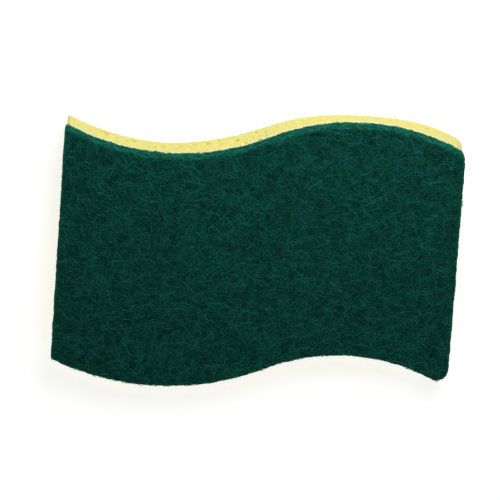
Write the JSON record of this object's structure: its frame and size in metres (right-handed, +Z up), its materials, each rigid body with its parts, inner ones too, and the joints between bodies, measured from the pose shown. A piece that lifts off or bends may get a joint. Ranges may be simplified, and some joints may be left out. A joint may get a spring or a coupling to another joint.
{
  "type": "cleaning sponge",
  "caption": "Wave-cut scrub sponge: a dark green nonwoven scouring pad bonded on a block of pale yellow cellulose sponge with open pores, for scrubbing dishes and worktops.",
  "frame": {"origin": "middle of the resting face, under the middle of the overall box, on the surface that the sponge lies on", "axes": "+X along the length towards the crest half of the wave, +Y across the waves, +Z up from the cellulose face to the scouring pad"},
  "size_m": [0.1142, 0.0814, 0.0152],
  "materials": {
    "cellulose": "matte, open-pored pale yellow cellulose foam",
    "adhesive": "thin satin film of cured adhesive, pale green yellow",
    "scouring_web": "resin-bonded crimped fibres with abrasive grit, dark green, with small glints"
  },
  "bodies": {
    "root": {"cellulose_sponge": "cellulose", "adhesive_film": "adhesive", "scouring_pad": "scouring_web"}
  },
  "joints": []
}
